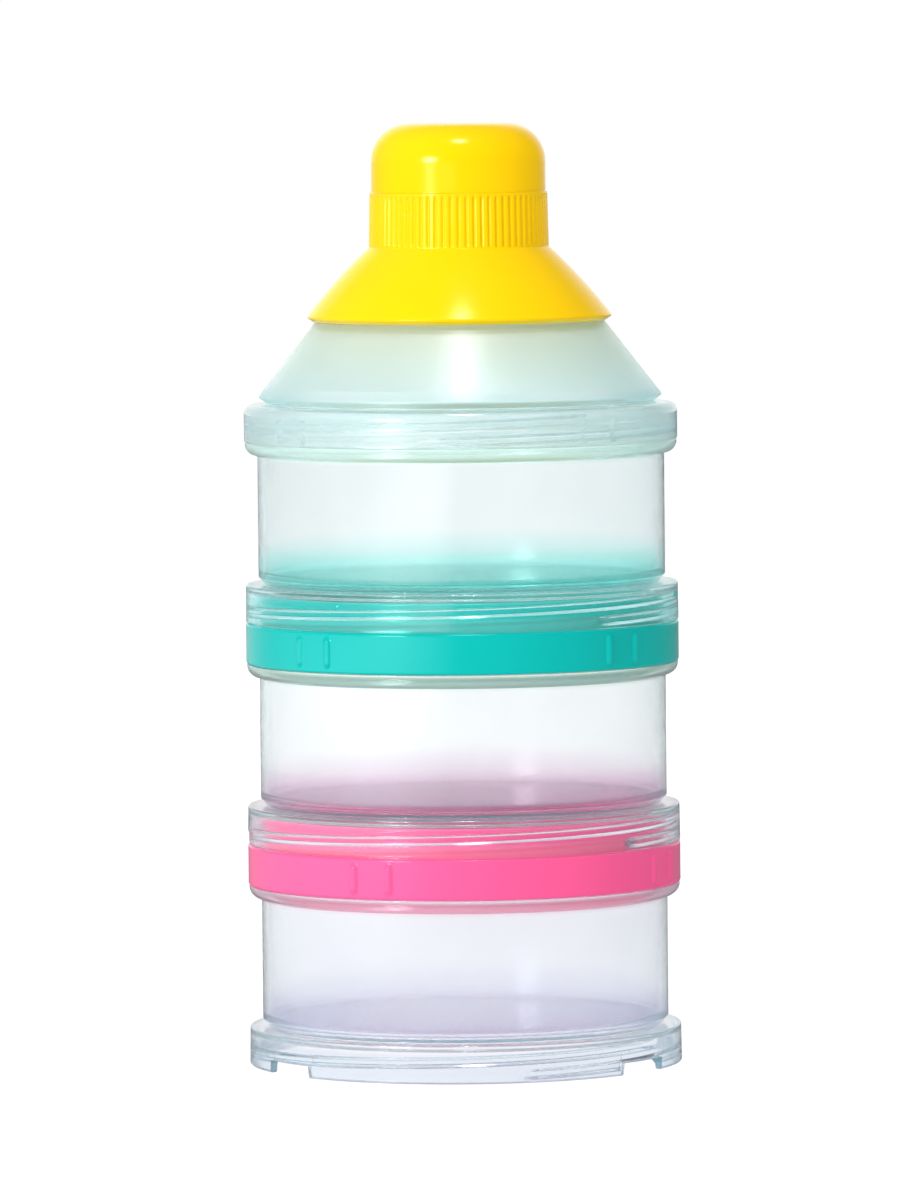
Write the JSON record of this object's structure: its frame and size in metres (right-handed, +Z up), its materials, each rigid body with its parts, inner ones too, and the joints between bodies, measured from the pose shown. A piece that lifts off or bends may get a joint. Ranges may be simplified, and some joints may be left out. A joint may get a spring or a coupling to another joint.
{
  "type": "formula dispenser",
  "caption": "Stacking milk-powder container: clear round cases with screw threads, coloured screw lids between them, and a clear funnel lid with a fluted cap.",
  "frame": {"origin": "middle of the base, at the level of the surface it stands on", "axes": "+Z up the axis of the stack towards the cap; -Y is the front"},
  "size_m": [0.08, 0.08, 0.1735],
  "materials": {
    "clear_plastic": "clear, glossy",
    "pink_plastic": "glossy",
    "teal_plastic": "glossy",
    "yellow_plastic": "glossy"
  },
  "bodies": {
    "bottom_case": {"bottom_case": "clear_plastic"},
    "lower_lid": {"lower_lid": "pink_plastic"},
    "middle_case": {"middle_case": "clear_plastic"},
    "upper_lid": {"upper_lid": "teal_plastic"},
    "top_case": {"top_case": "clear_plastic"},
    "funnel_lid": {"funnel_lid": "clear_plastic"},
    "spout_cap": {"spout_cap": "yellow_plastic"}
  },
  "joints": [
    {"name": "lower_lid_lift", "type": "slide", "parent": "bottom_case", "child": "lower_lid", "axis": [0, 0, 1], "range_m": [0, 0.02]},
    {"name": "middle_case_lift", "type": "slide", "parent": "lower_lid", "child": "middle_case", "axis": [0, 0, 1], "range_m": [0, 0.02]},
    {"name": "upper_lid_lift", "type": "slide", "parent": "middle_case", "child": "upper_lid", "axis": [0, 0, 1], "range_m": [0, 0.02]},
    {"name": "top_case_lift", "type": "slide", "parent": "upper_lid", "child": "top_case", "axis": [0, 0, 1], "range_m": [0, 0.02]},
    {"name": "funnel_lid_lift", "type": "slide", "parent": "top_case", "child": "funnel_lid", "axis": [0, 0, 1], "range_m": [0, 0.02]},
    {"name": "spout_cap_lift", "type": "slide", "parent": "funnel_lid", "child": "spout_cap", "axis": [0, 0, 1], "range_m": [0, 0.04]}
  ]
}
